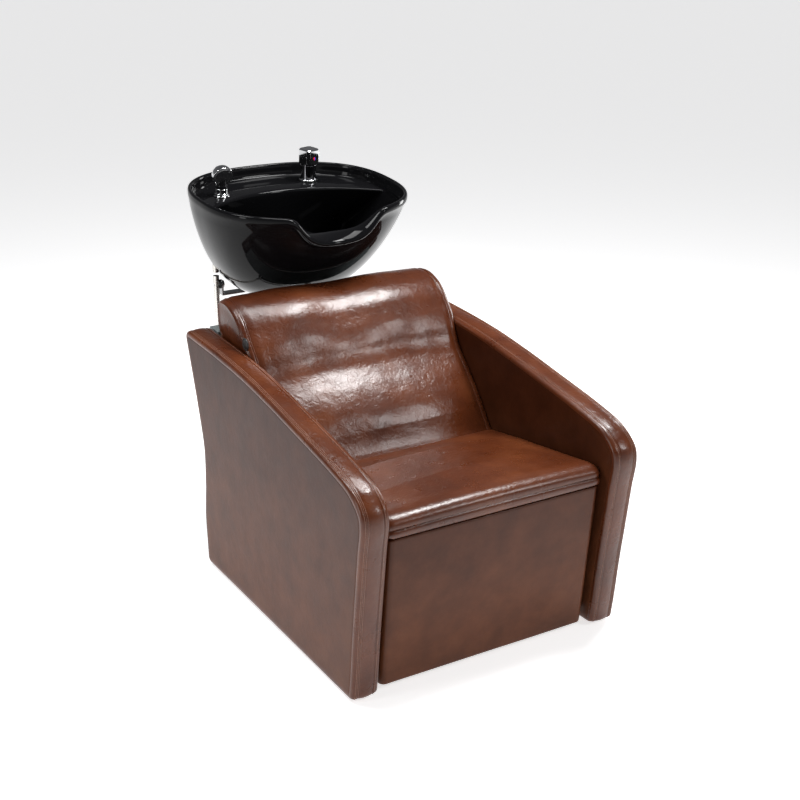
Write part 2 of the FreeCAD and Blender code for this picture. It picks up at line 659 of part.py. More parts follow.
def make_handset():
    sleeve = rod(21.0, shower_axis(0), shower_axis(3.0)).fuse(rod(16.0, shower_axis(-22.0), shower_axis(20.0)))
    sleeve = sleeve.fuse(rod(18.0, shower_axis(3.0), shower_axis(8.0)))
    save("shower_sleeve", to_world(sleeve.cut(rod(13.5, shower_axis(-30.0), shower_axis(30.0)))))
    save("sleeve_nut", to_world(hexagon(42.0, shower_axis(-21.0), shower_axis(-LEDGE_THICKNESS - 0.1), 16.0)))
    look = Vector(0.0, -math.cos(math.radians(24.0)), -math.sin(math.radians(24.0)))
    centre = shower_axis(56.0) - Y * 4.0
    dome = [(0.0, -24.0), (10.0, -22.5), (19.0, -17.0), (25.0, -8.0), (27.0, 0.0), (27.0, 8.0), (0.0, 8.0)]
    head = revolve(dome, centre, look)
    grip = rod(12.5, shower_axis(-18.0), shower_axis(44.0)).fuse(rod(15.5, shower_axis(20.2), shower_axis(28.0)))
    save("shower_head_shell", to_world(head))
    face = rod(24.0, centre + look * 8.0, centre + look * 12.0)
    save("shower_handle", to_world(grip.cut(head).cut(face)))
    for ring, count in ((8.0, 6), (16.0, 12)):
        for k in range(count):
            turn = 2 * math.pi * k / count
            side = look.cross(X)
            side.normalize()
            place = centre + look * 7.0 + X * ring * math.cos(turn) + side * ring * math.sin(turn)
            face = face.cut(rod(0.9, place + look * 3.0, place + look * 6.0))
    save("spray_plate", to_world(face))
    nut = hexagon(20.0, shower_axis(-34.0), shower_axis(-18.0), 6.5)
    save("hose_nut", to_world(nut))


make_arms()
make_arm_bolts()
make_glides()
make_seat_box()
make_seat_cushion()
make_back()
make_rear()
make_bowl()
make_yoke()
make_stand()
make_links()
make_pivots()
make_waste()
make_mixer()
make_handset()
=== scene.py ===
import json
import math

import bmesh
import bpy
import numpy as np
from mathutils import Matrix, Vector, noise

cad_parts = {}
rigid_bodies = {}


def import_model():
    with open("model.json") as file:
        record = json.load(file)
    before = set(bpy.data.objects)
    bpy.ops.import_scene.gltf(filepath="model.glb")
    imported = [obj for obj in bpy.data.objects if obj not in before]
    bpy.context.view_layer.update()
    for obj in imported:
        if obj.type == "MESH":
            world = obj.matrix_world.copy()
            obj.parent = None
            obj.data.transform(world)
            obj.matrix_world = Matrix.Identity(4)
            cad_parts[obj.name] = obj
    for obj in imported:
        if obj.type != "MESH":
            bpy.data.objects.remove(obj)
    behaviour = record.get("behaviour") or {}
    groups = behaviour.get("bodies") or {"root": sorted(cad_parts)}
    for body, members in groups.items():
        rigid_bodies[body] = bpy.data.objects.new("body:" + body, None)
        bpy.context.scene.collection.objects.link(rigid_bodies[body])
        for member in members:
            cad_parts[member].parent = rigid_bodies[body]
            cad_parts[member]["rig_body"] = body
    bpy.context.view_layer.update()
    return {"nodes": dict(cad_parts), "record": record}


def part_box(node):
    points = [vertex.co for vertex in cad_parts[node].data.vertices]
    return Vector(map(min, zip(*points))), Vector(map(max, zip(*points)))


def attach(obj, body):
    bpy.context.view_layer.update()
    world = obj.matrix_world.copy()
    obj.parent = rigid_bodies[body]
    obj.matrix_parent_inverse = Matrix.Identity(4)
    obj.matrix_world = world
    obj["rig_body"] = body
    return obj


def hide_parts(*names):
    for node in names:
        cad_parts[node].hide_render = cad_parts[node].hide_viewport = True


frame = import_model()

NODES = frame["nodes"]
MM = 0.001
# y of the arms' front bottom edge: outlines below are measured from it, in millimetres.
FRONT_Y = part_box("arm_band_left")[0].y + 60 * MM


# ---------------------------------------------------------------- materials
def new_material(name):
    mat = bpy.data.materials.new(name)
    mat.use_nodes = True
    tree = mat.node_tree
    return mat, tree.nodes, tree.links, tree.nodes["Principled BSDF"]


def add(nodes, kind, **values):
    node = nodes.new(kind)
    for key, value in values.items():
        if key in node.inputs:
            node.inputs[key].default_value = value
        else:
            setattr(node, key, value)
    return node


def object_coords(nodes, links, stretch=(1, 1, 1), turn=(0, 0, 0)):
    coords = add(nodes, "ShaderNodeTexCoord")
    mapping = add(nodes, "ShaderNodeMapping")
    mapping.inputs["Scale"].default_value = stretch
    mapping.inputs["Rotation"].default_value = turn
    links.new(coords.outputs["Object"], mapping.inputs["Vector"])
    return mapping.outputs["Vector"]


def ramp(nodes, links, source, stops):
    node = add(nodes, "ShaderNodeValToRGB")
    elements = node.color_ramp.elements
    while len(elements) < len(stops):
        elements.new(0.5)
    for element, (place, colour) in zip(elements, stops):
        element.position = place
        element.color = (*colour, 1.0) if len(colour) == 3 else colour
    links.new(source, node.inputs["Fac"])
    return node.outputs["Color"]


def bump(nodes, links, height, strength, distance, normal=None):
    node = add(nodes, "ShaderNodeBump")
    node.inputs["Strength"].default_value = strength
    node.inputs["Distance"].default_value = distance
    links.new(height, node.inputs["Height"])
    if normal is not None:
        links.new(normal, node.inputs["Normal"])
    return node.outputs["Normal"]


def map_range(nodes, links, source, low, high):
    node = add(nodes, "ShaderNodeMapRange")
    node.inputs["To Min"].default_value = low
    node.inputs["To Max"].default_value = high
    links.new(source, node.inputs["Value"])
    return node.outputs["Result"]


def leather(name, dark, mid, light, rough=(0.22, 0.36), crinkle=0.6, grain=0.2,
            painted_floor_reflection_and_shade=((1, 1, 1), (1, 1, 1)), cloudy=6.0, shine=0.36):
    """Glossy coated leather, mottled, pebbled and crinkled; a height ramp of painted light multiplies its colour: a
    painted floor reflection lightens it near the floor and painted shade darkens it towards the top.
    """
    mat, nodes, links, shader = new_material(name)
    where = object_coords(nodes, links)
    cloud = add(nodes, "ShaderNodeTexNoise", Scale=cloudy, Detail=6.0, Roughness=0.62)
    links.new(where, cloud.inputs["Vector"])
    colour = ramp(nodes, links, cloud.outputs["Fac"], [(0.3, dark), (0.5, mid), (0.72, light)])
    split = add(nodes, "ShaderNodeSeparateXYZ")
    links.new(where, split.inputs[0])
    # Painted light: the colour is lifted near the floor as a painted floor reflection and darkened towards the top
    # as painted shade.
    painted_light_tint = ramp(nodes, links, split.outputs["Z"], [(0.08, painted_floor_reflection_and_shade[0]), (0.56, painted_floor_reflection_and_shade[1])])
    mix = add(nodes, "ShaderNodeMix", data_type="RGBA", blend_type="MULTIPLY")
    mix.inputs[0].default_value = 1.0
    links.new(colour, mix.inputs[6])
    links.new(painted_light_tint, mix.inputs[7])
    links.new(mix.outputs[2], shader.inputs["Base Color"])
    patch = add(nodes, "ShaderNodeTexNoise", Scale=22.0, Detail=5.0, Roughness=0.6)
    links.new(where, patch.inputs["Vector"])
    links.new(map_range(nodes, links, patch.outputs["Fac"], *rough), shader.inputs["Roughness"])
    wander = add(nodes, "ShaderNodeTexNoise", Scale=70.0, Detail=4.0, Roughness=0.55, Distortion=0.7)
    links.new(where, wander.inputs["Vector"])
    cells = add(nodes, "ShaderNodeTexVoronoi", Scale=150.0)
    cells.feature = "DISTANCE_TO_EDGE"
    warp = add(nodes, "ShaderNodeVectorMath")
    warp.operation = "MULTIPLY_ADD"
    warp.inputs[1].default_value = (0.012, 0.012, 0.012)
    links.new(wander.outputs["Color"], warp.inputs[0])
    links.new(where, warp.inputs[2])
    links.new(warp.outputs[0], cells.inputs["Vector"])
    pebble = add(nodes, "ShaderNodeTexNoise", Scale=900.0, Detail=2.0, Roughness=0.5)
    links.new(where, pebble.inputs["Vector"])
    normal = bump(nodes, links, wander.outputs["Fac"], crinkle, 0.0017)
    normal = bump(nodes, links, cells.outputs["Distance"], crinkle * 0.18, 0.0008, normal)
    normal = bump(nodes, links, pebble.outputs["Fac"], grain, 0.0003, normal)
    links.new(normal, shader.inputs["Normal"])
    shader.inputs["Specular IOR Level"].default_value = shine
    shader.inputs["Coat Weight"].default_value = 0.12
    shader.inputs["Coat Roughness"].default_value = 0.14
    return mat


def metal(name, colour, rough=(0.05, 0.1), brushed=None):
    mat, nodes, links, shader = new_material(name)
    shader.inputs["Metallic"].default_value = 1.0
    shader.inputs["Base Color"].default_value = (*colour, 1.0)
    stretch = brushed or (1, 1, 1)
    where = object_coords(nodes, links, stretch)
    streak = add(nodes, "ShaderNodeTexNoise", Scale=90.0 if brushed is None else 40.0, Detail=4.0)
    links.new(where, streak.inputs["Vector"])
    links.new(map_range(nodes, links, streak.outputs["Fac"], *rough), shader.inputs["Roughness"])
    links.new(bump(nodes, links, streak.outputs["Fac"], 0.04, 0.0002), shader.inputs["Normal"])
    return mat


def plain(name, dark, light, rough, scale=60.0, relief=0.1, coat=0.0, specular=0.5):
    """Paint, rubber or moulded plastic with slight mottling and a fine surface."""
    mat, nodes, links, shader = new_material(name)
    where = object_coords(nodes, links)
    cloud = add(nodes, "ShaderNodeTexNoise", Scale=scale, Detail=5.0)
    links.new(where, cloud.inputs["Vector"])
    colour = ramp(nodes, links, cloud.outputs["Fac"], [(0.35, dark), (0.65, light)])
    links.new(colour, shader.inputs["Base Color"])
    dullness = map_range(nodes, links, cloud.outputs["Fac"], rough - 0.05, rough + 0.07)
    links.new(dullness, shader.inputs["Roughness"])
    fine = add(nodes, "ShaderNodeTexNoise", Scale=900.0, Detail=2.0)
    links.new(where, fine.inputs["Vector"])
    links.new(bump(nodes, links, fine.outputs["Fac"], relief, 0.0002), shader.inputs["Normal"])
    shader.inputs["Coat Weight"].default_value = coat
    shader.inputs["Coat Roughness"].default_value = 0.05
    shader.inputs["Specular IOR Level"].default_value = specular
    return mat


def glaze(name):
    """Black glaze: deep gloss over a faint orange-peel surface."""
    mat, nodes, links, shader = new_material(name)
    where = object_coords(nodes, links)
    shader.inputs["Base Color"].default_value = (0.004, 0.004, 0.0045, 1.0)
    smear = add(nodes, "ShaderNodeTexNoise", Scale=9.0, Detail=5.0)
    links.new(where, smear.inputs["Vector"])
    links.new(map_range(nodes, links, smear.outputs["Fac"], 0.03, 0.09), shader.inputs["Roughness"])
    peel = add(nodes, "ShaderNodeTexNoise", Scale=38.0, Detail=2.0)
    links.new(where, peel.inputs["Vector"])
    links.new(bump(nodes, links, peel.outputs["Fac"], 0.06, 0.0012), shader.inputs["Normal"])
    shader.inputs["Specular IOR Level"].default_value = 0.1
    return mat


def wood(name, dark, light):
    mat, nodes, links, shader = new_material(name)
    where = object_coords(nodes, links, (2.0, 14.0, 14.0))
    grain = add(nodes, "ShaderNodeTexNoise", Scale=4.0, Detail=9.0, Roughness=0.7, Distortion=0.8)
    links.new(where, grain.inputs["Vector"])
    colour = ramp(nodes, links, grain.outputs["Fac"], [(0.35, dark), (0.65, light)])
    links.new(colour, shader.inputs["Base Color"])
    shader.inputs["Roughness"].default_value = 0.6
    links.new(bump(nodes, links, grain.outputs["Fac"], 0.2, 0.0006), shader.inputs["Normal"])
    return mat


def speckled(name):
    """Grey laminate with pale and dark flecks."""
    mat, nodes, links, shader = new_material(name)
    where = object_coords(nodes, links)
    cloud = add(nodes, "ShaderNodeTexNoise", Scale=30.0, Detail=6.0, Roughness=0.7)
    links.new(where, cloud.inputs["Vector"])
    base = ramp(nodes, links, cloud.outputs["Fac"], [(0.35, (0.19, 0.22, 0.22)), (0.65, (0.33, 0.36, 0.36))])
    fleck = add(nodes, "ShaderNodeTexVoronoi", Scale=260.0)
    links.new(where, fleck.inputs["Vector"])
    spots = ramp(nodes, links, fleck.outputs["Distance"], [(0.16, (0.05, 0.06, 0.06)), (0.24, (1, 1, 1))])
    mix = add(nodes, "ShaderNodeMix", data_type="RGBA", blend_type="MULTIPLY")
    mix.inputs[0].default_value = 0.55
    links.new(base, mix.inputs[6])
    links.new(spots, mix.inputs[7])
    links.new(mix.outputs[2], shader.inputs["Base Color"])
    shader.inputs["Roughness"].default_value = 0.35
    return mat


BROWN = ((0.048, 0.0105, 0.0032), (0.082, 0.0195, 0.0056), (0.128, 0.035, 0.0108))
FLAT_BROWN = ((0.056, 0.0165, 0.0068), (0.074, 0.0225, 0.0094), (0.094, 0.030, 0.0128))
MATS = {
    "leather": leather("brown_leather", *BROWN),
    # The flat panels get painted light by height: 1.3 near the floor as a painted floor reflection, 0.5 to 0.28 at
    # the top as painted shade.
    "panel": leather("brown_leather_flat", *FLAT_BROWN, rough=(0.38, 0.48), crinkle=0.2,
                     painted_floor_reflection_and_shade=((1.3, 1.35, 1.3), (0.5, 0.38, 0.28)), cloudy=14.0, shine=0.12),
    "thread": plain("thread", (0.16, 0.07, 0.045), (0.3, 0.16, 0.11), 0.5, scale=400.0, relief=0.3),
    "glaze": glaze("black_glaze"),
    "chrome": metal("chrome", (0.83, 0.84, 0.85), (0.04, 0.09)),
    "dark_chrome": metal("dark_chrome", (0.42, 0.42, 0.44), (0.03, 0.08)),
    "steel": metal("steel", (0.55, 0.55, 0.56), (0.25, 0.4), brushed=(1, 1, 12)),
    "bright_steel": metal("bright_steel", (0.8, 0.78, 0.74), (0.22, 0.34), brushed=(1, 1, 12)),
    "zinc": metal("zinc", (0.6, 0.6, 0.6), (0.3, 0.45)),
    "painted": plain("black_paint", (0.018, 0.018, 0.02), (0.03, 0.03, 0.032), 0.4, relief=0.25),
    "rubber": plain("rubber", (0.014, 0.014, 0.014), (0.024, 0.024, 0.024), 0.75, relief=0.3),
    "plastic": plain("black_plastic", (0.016, 0.016, 0.018), (0.028, 0.028, 0.03), 0.42, relief=0.2),
    "gloss": plain("gloss_black", (0.008, 0.008, 0.009), (0.014, 0.014, 0.015), 0.12, coat=0.4),
    "wood": wood("beech", (0.34, 0.2, 0.1), (0.55, 0.37, 0.21)),
    "speckled": speckled("speckled_laminate"),
    "red": plain("red_mark", (0.6, 0.01, 0.01), (0.75, 0.02, 0.02), 0.25),
    "blue": plain("blue_mark", (0.01, 0.03, 0.5), (0.02, 0.05, 0.65), 0.25),
    "tag": plain("tag", (0.01, 0.01, 0.011), (0.02, 0.02, 0.02), 0.45, relief=0.3),
}
SLOT_LOOK = {
    "foam_leather": "leather", "leather_board": "panel", "wood": "wood", "steel": "steel", "chrome": "chrome",
    "painted_steel": "painted", "glaze": "glaze", "rubber": "rubber", "black_plastic": "plastic",
    "gloss_black": "gloss", "chromed_plastic": "chrome", "stone_laminate": "speckled", "zinc": "chrome",
    "hot_red": "red", "cold_blue": "blue", "tag": "tag",
}
NODE_SLOT = {part["node"]: part["material_slot"] for part in frame["record"]["subparts"]}
NODE_LOOK = {
    "mixer_body": "dark_chrome", "mixer_swivel": "dark_chrome", "mixer_lever": "chrome",
    "tilt_yoke": "steel", "stand_posts": "bright_steel",
}


def paint(obj, look):
    """Gives an object one of the looks above as its only material."""
    obj.data.materials.clear()
    obj.data.materials.append(MATS[look])


for name, node in NODES.items():
    paint(node, NODE_LOOK.get(name, SLOT_LOOK[NODE_SLOT[name]]))


# ---------------------------------------------------------------- mesh helpers
def link_mesh(name, verts, faces, body, look):
    """A smooth shaded mesh riding on a body."""
    mesh = bpy.data.meshes.new(name)
    mesh.from_pydata([tuple(v) for v in verts], [], faces)
    bm = bmesh.new()
    bm.from_mesh(mesh)
    bmesh.ops.recalc_face_normals(bm, faces=bm.faces)
    bm.to_mesh(mesh)
    bm.free()
    obj = bpy.data.objects.new(name, mesh)
    bpy.context.scene.collection.objects.link(obj)
    mesh.polygons.foreach_set("use_smooth", [True] * len(mesh.polygons))
    paint(obj, look)
    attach(obj, body)
    return obj


def stack_rings(rings, closed):
    """Vertices and quads of rings joined in turn: closed in a loop, or capped at both ends."""
    count = len(rings[0])
    verts = np.concatenate(rings)
    faces = []
    spans = len(rings) if closed else len(rings) - 1
    for r in range(spans):
        a, b = r * count, (r + 1) % len(rings) * count
        for k in range(count):
            j = (k + 1) % count
            faces.append((a + k, a + j, b + j, b + k))
    if not closed:
        last = (len(rings) - 1) * count
        verts = np.concatenate([verts, [rings[0].mean(0)], [rings[-1].mean(0)]])
        for k in range(count):
            j = (k + 1) % count
            faces.append((j, k, len(verts) - 2))
            faces.append((last + k, last + j, len(verts) - 1))
    return verts, faces


def flow(points, count):
    """An even run of points on the smooth closed curve through the given points."""
    pts = np.array(points, float)
    n = len(pts)
    dense = []
    for i in range(n):
        p0, p1, p2, p3 = pts[i - 1], pts[i], pts[(i + 1) % n], pts[(i + 2) % n]
        d = np.linalg.norm(p2 - p1)
        m1 = (p2 - p0) / max(np.linalg.norm(p1 - p0) + d, 1e-9) * d
        m2 = (p3 - p1) / max(np.linalg.norm(p3 - p2) + d, 1e-9) * d
        for t in np.linspace(0, 1, 24, endpoint=False):
            h = (2 * t**3 - 3 * t**2 + 1, t**3 - 2 * t**2 + t, -2 * t**3 + 3 * t**2, t**3 - t**2)
            dense.append(h[0] * p1 + h[1] * m1 + h[2] * p2 + h[3] * m2)
    dense.append(pts[0])
    dense = np.array(dense)
    run = np.concatenate([[0], np.cumsum(np.linalg.norm(np.diff(dense, axis=0), axis=1))])
    places = np.linspace(0, run[-1], count, endpoint=False)
    return np.stack([np.interp(places, run, dense[:, k]) for k in range(dense.shape[1])], 1)


def outward(loop):
    """Unit normals of a closed outline, pointing out of it."""
    tangent = np.roll(loop, -1, 0) - np.roll(loop, 1, 0)
    normal = np.stack([tangent[:, 1], -tangent[:, 0]], 1)
    normal /= np.linalg.norm(normal, axis=1)[:, None] + 1e-12
    area = np.sum(loop[:, 0] * np.roll(loop[:, 1], -1) - np.roll(loop[:, 0], -1) * loop[:, 1])
    return normal if area > 0 else -normal


def place(x, outline):
    """An outline of (y, z) in millimetres at x, as points of the frame in metres."""
    x = np.broadcast_to(x, len(outline))
    return np.stack([x * MM, outline[:, 0] * MM + FRONT_Y, outline[:, 1] * MM], 1)


def ripple(points, size, amount, seed=0.0):
    """Smooth noise, one value for each point, between -amount and amount."""
    shift = Vector((seed, seed * 1.7, -seed))
    return np.array([noise.noise(Vector(p) / size + shift) * amount for p in points])


def tube(name, points, radius, body, look, closed=False):
    """A round rod or cord along a path."""
    curve = bpy.data.curves.new(name, "CURVE")
    curve.dimensions = "3D"
    curve.bevel_depth = radius
    curve.bevel_resolution = 3
    spline = curve.splines.new("POLY")
    spline.points.add(len(points) - 1)
    for point, place_at in zip(spline.points, points):
        point.co = (*place_at, 1.0)
    spline.use_cyclic_u = closed
    made = bpy.data.objects.new(name, curve)
    bpy.context.scene.collection.objects.link(made)
    mesh = bpy.data.meshes.new_from_object(made.evaluated_get(bpy.context.evaluated_depsgraph_get()))
    bpy.data.objects.remove(made)
    obj = bpy.data.objects.new(name, mesh)
    bpy.context.scene.collection.objects.link(obj)
    mesh.polygons.foreach_set("use_smooth", [True] * len(mesh.polygons))
    paint(obj, look)
    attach(obj, body)
    return obj


# ---------------------------------------------------------------- arms
# Side outline of an arm as (y, z), from the foot of its front edge up and round.
ARM_LOOP = flow([
    (0, 24), (-6, 60), (-20, 170), (-38, 290), (-50, 370), (-60, 424), (-57, 455), (-43, 475), (-15, 496),
    (17, 509), (110, 530), (225, 551), (360, 575), (500, 595), (660, 608), (790, 614), (818, 615),
    (830, 611), (836, 602), (835, 590), (812, 515), (790, 440), (773, 375), (763, 320), (768, 230),
    (781, 140), (780, 60), (779, 24), (777, 15), (770, 8), (761, 6), (600, 6), (400, 6), (200, 6),
    (18, 6), (8, 8.5), (2, 14),
], 520)
ARM_OUT = outward(ARM_LOOP)
ARM_FACE, ARM_INSIDE = 350, 285
PANEL_INSET = 11.3
# The band across its width as (distance in from the outer face, depth below the outline): two corded
# welts by the outer edge, a seam near the inner edge, and the turned-in sides.
BAND = [
    (0.6, 15), (0.2, 12.2), (0, 11.2), (0, 9.5), (0.3, 7.0), (1.3, 4.4), (3.0, 2.3), (5.0, 0.9), (6.4, 0.4),
    (7.0, 0.9), (7.7, -0.3), (8.9, -0.9), (10.1, -0.3), (10.8, 0.9), (11.5, -0.3), (12.7, -0.9),
    (13.9, -0.3), (14.6, 0.8), (16.0, -0.1), (20, -0.9), (26, -1.7), (33, -2.0), (40, -1.7), (46, -0.9),
    (49.2, -0.1), (50.2, 0.8), (51.0, -0.3), (52.1, -0.9), (53.2, -0.3), (54.0, 0.7), (56, 0.5), (59, 1.3),
    (61.7, 2.9), (63.7, 5.2), (64.8, 8.0), (65, 10), (65, 11.2), (64.8, 12.2), (64.4, 15), (58, 17),
    (33, 17), (7, 17),
]
WELT_GROOVES = (7.0, 10.8, 14.6, 54.0)


def arm_panel(name, x_face, x_back):
    """A thin flat upholstered panel that fills the band's outline on one face of the arm."""
    facing = 1 if x_face > x_back else -1
    centre = np.array([395.0, 290.0])
    rim = ARM_LOOP - ARM_OUT * PANEL_INSET

    def drawn_in(amount):
        return centre + (rim - centre) * (1 - amount / 300.0)

    rings = [place(x_back, drawn_in(2.0))]
    edge = ((2.4, 0.0), (1.2, 0.5), (0.4, 1.5), (0.0, 3.5), (0.0, 7.0), (0.0, 60.0), (0.0, 150.0), (0.0, 260.0))
    for back_off, more in edge:
        rings.append(place(x_face - facing * back_off, drawn_in(more)))
    verts, faces = stack_rings(rings, False)
    return link_mesh(name, verts, faces, "chair", "panel")


for side, sign in (("right", -1), ("left", 1)):
    rings = []
    for u, inset in BAND:
        ring = place(sign * (ARM_FACE - u), ARM_LOOP - ARM_OUT * inset)
        if inset < 3:
            soft = ripple(ring, 0.045, 0.9, 3.0 + sign) + ripple(ring, 0.014, 0.25, 9.0)
            bend = np.exp(-(((ring[:, 1] - FRONT_Y) - 0.0) / 0.11) ** 2 - ((ring[:, 2] - 0.475) / 0.07) ** 2)
            soft += bend * ripple(ring, 0.022, 1.6, 21.0)
            ring[:, 1:] += ARM_OUT * soft[:, None] * MM * min(1.0, (u - 3) / 20 if u < 32 else (62 - u) / 20)
        rings.append(ring)
    verts, faces = stack_rings(rings, True)
    band = link_mesh("arm_band_look_" + side, verts, faces, "chair", "leather")
    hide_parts("arm_band_" + side)
    cover = arm_panel("arm_outer_look_" + side, sign * ARM_FACE, sign * (ARM_FACE - 8))
    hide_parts("arm_outer_cover_" + side)
    inner = arm_panel("arm_inner_look_" + side, sign * ARM_INSIDE, sign * (ARM_INSIDE + 26))
    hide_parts("arm_inner_pad_" + side)
    for number, u in enumerate(WELT_GROOVES):
        path = place(sign * (ARM_FACE - u), ARM_LOOP - ARM_OUT * 0.35)
        welt = tube(f"arm_welt_{side}_{number}", path, 0.0005, "chair", "thread", True)


# ---------------------------------------------------------------- seat
# Side outline of the seat cushion: top, nose roll, the small second roll under it, underside.
SEAT_LOOP = flow([
    (400, 334), (401, 345), (401, 362), (396, 371), (380, 375), (300, 384), (200, 396.5), (100, 409),
    (40, 417.5), (14, 421.5), (-4, 421.5), (-17, 416.5), (-25.5, 408), (-27.5, 400), (-26.3, 396.6),
    (-24.3, 395.6), (-26.8, 394.2), (-29.6, 390), (-30.3, 385), (-28.5, 380), (-24, 376.8), (-16, 375.6),
    (-6, 375.2), (-3, 372), (-2, 360), (-2, 340), (0, 333), (8, 331.5), (200, 331.5), (380, 331.5), (396, 332),
], 420)
SEAT_OUT = outward(SEAT_LOOP)
# 1 where the cover is free to crown, 0 where it rests on the box.
SEAT_TOP = np.clip((SEAT_LOOP[:, 1] - 374) / 12, 0, 1) * np.clip((SEAT_LOOP[:, 0] + 30) / 150, 0.22, 1)


def rounded(distance, radius):
    """How far an edge of that radius falls away at a distance from the end."""
    if distance >= radius:
        return 0.0
    return radius - math.sqrt(max(radius**2 - (radius - distance) ** 2, 0.0))


def end_places(half, radius, middle):
    """x places from one end to the other, close together where the ends are rounded."""
    near = [radius * (1 - math.cos(math.radians(a))) for a in (0, 10, 20, 30, 40, 50, 60, 70, 80, 90)]
    low = [-half + d for d in near]
    return low + list(np.linspace(-half + radius, half - radius, middle)[1:-1]) + [-x for x in reversed(low)]


rings = []
SEAT_HALF, SEAT_END_RADIUS, SEAT_CROWN = 279.0, 22, 22.0
for x in end_places(SEAT_HALF, SEAT_END_RADIUS, 54):
    distance = SEAT_HALF - abs(x)
    crown = SEAT_CROWN * (1 - (abs(x) / SEAT_HALF) ** 2.3)
    outline = SEAT_LOOP - SEAT_OUT * (rounded(distance, SEAT_END_RADIUS) * 0.98)
    lift = np.where(SEAT_OUT[:, 1] > -0.2, SEAT_TOP, 0.0) * crown
    outline = outline + np.stack([np.zeros(len(lift)), lift], 1)
    ring = place(x, outline)
    soft = ripple(ring, 0.11, 1.6, 5.0) + ripple(ring, 0.035, 0.35, 8.0)
    ring[:, 1:] += SEAT_OUT * (soft * np.clip(SEAT_TOP, 0.12, 1))[:, None] * MM
    rings.append(ring)
verts, faces = stack_rings(rings, False)
seat = link_mesh("seat_cushion_look", verts, faces, "chair", "leather")
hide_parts("seat_cushion")

PANEL_HALF, PANEL_DEPTH = 270.0, 34.0


def plan_outline(front, inset):
    """Rounded oblong seen from above, its front edge at front."""
    r, half, deep = 13.0, PANEL_HALF - inset, PANEL_DEPTH
    loop = []
    for cx, cy, start in ((half - r, front + inset + r, 270), (half - 3, front + deep - 3, 0),
                          (-half + 3, front + deep - 3, 90), (-half + r, front + inset + r, 180)):
        rad = r if start in (270, 180) else 3.0
        for k in range(9):
            a = math.radians(start + 90 * k / 8)
            loop.append((cx + rad * math.cos(a), cy + rad * math.sin(a)))
    return flow(loop, 300)


rings = []
for k, z in enumerate([12, 12.3, 13, 15, 19] + list(np.linspace(26, 366, 40)) + [370, 372.5, 374, 374.6]):
    front = 18 - 44 * (z - 12) / 362
    inset = {12: 3.0, 12.3: 1.8, 13: 0.8, 15: 0.2, 372.5: 0.5, 374: 1.6, 374.6: 3.0}.get(z, 0.0)
    plan = plan_outline(front, inset)
    ring = np.stack([plan[:, 0] * MM, plan[:, 1] * MM + FRONT_Y, np.full(len(plan), z * MM)], 1)
    ring[:, 1] += ripple(ring, 0.16, 0.7, 31.0) * MM
    rings.append(ring)
verts, faces = stack_rings(rings, False)
panel = link_mesh("seat_front_look", verts, faces, "chair", "panel")
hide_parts("seat_front_panel")

# ---------------------------------------------------------------- back cushion
# Side outline of the back cushion: front face from the seat up, over the top roll and down the rear.
BACK_LOOP = flow([
    (404, 346), (410, 358), (420, 370), (444, 403), (472, 441), (495, 468), (519, 495), (541, 518),
    (560, 540), (575, 565), (587, 591), (603, 618), (622, 642), (638, 662), (655, 678), (672, 690),
    (692, 699), (713, 705), (735, 706), (752, 703), (766, 695), (772, 680), (772, 650), (768, 620),
    (758, 602), (700, 524), (630, 430), (580, 362), (562, 340), (550, 335), (500, 335), (440, 335), (412, 337),
], 420)
BACK_OUT = outward(BACK_LOOP)
BACK_HALF = 283.0
# The cushion's end as (distance in from the side, depth below the outline): boxed edge, then piping.
BACK_END = [
    (0.4, 13.0), (0.0, 11.4), (-0.2, 10.6), (-1.3, 9.8), (-1.7, 8.8), (-1.3, 7.8), (0.2, 7.0), (0.6, 5.9),
    (1.8, 4.2), (3.6, 2.7), (6.0, 1.5), (8.6, 0.8), (10.6, 0.6), (11.3, 1.0), (12.0, -0.2), (13.1, -1.0),
    (14.2, -0.2), (14.9, 1.0), (15.7, 0.4), (18, -0.4), (22, -1.4), (27, -2.6),
]
front_side = np.clip(-BACK_OUT[:, 0] * 1.2 + 0.35 + BACK_OUT[:, 1] * 0.5, 0, 1)
front_side = front_side * np.clip((BACK_LOOP[:, 1] - 350) / 60, 0, 1)
above_arms = np.clip((BACK_LOOP[:, 1] - 585) / 40, 0, 1)
lumbar = 15.0 * np.exp(-(((BACK_LOOP[:, 1] - 452) / 80) ** 2))
waist = -3.0 * np.exp(-(((BACK_LOOP[:, 1] - 560) / 60) ** 2))
head = 9.0 * np.exp(-(((BACK_LOOP[:, 1] - 668) / 70) ** 2))


def back_ring(x, inset, plump):
    """The back cushion's outline at x, swollen by its filling and puckered by plump."""
    distance = max(0.0, BACK_HALF - abs(x) - 20) / (BACK_HALF - 20)
    crown = 1 - (1 - min(distance * 1.2, 1.0)) ** 2.2
    pinch = 1 - 0.75 * math.exp(-(((x + 25) / 75) ** 2))
    swell = (lumbar + waist * (0.6 + 0.4 * pinch) + head * pinch * 1.25) * crown * front_side
    outline = BACK_LOOP + BACK_OUT * (swell - inset)[:, None]
    ring = place(x, outline)
    side_swell = 5.0 * above_arms * np.clip((40 - (BACK_HALF - abs(x))) / 40, 0, 1) * math.copysign(1, x)
    ring[:, 0] += side_swell * MM
    soft = ripple(ring, 0.16, 4.5, 41.0) + ripple(ring, 0.06, 1.3, 47.0) + ripple(ring, 0.022, 0.3, 53.0)
    ring[:, 1:] += BACK_OUT * (soft * plump * front_side)[:, None] * MM
    return ring


rings = []
centre = np.array([640.0, 560.0])
edge = BACK_LOOP - BACK_OUT * 13.0


def end_cap(sign):
    """Rings of the boxed end, from the middle out to its piping."""
    made = []
    for scale, rise in ((0.1, 3.0), (0.3, 2.8), (0.5, 2.3), (0.7, 1.6), (0.88, 0.6)):
        outline = centre + (edge - centre) * scale
        ring = place(sign * BACK_HALF, outline)
        ring[:, 0] += sign * (np.clip((outline[:, 1] - 600) / 30, 0, 1) * (rise + 5.0)) * MM
        made.append(ring)
    return made


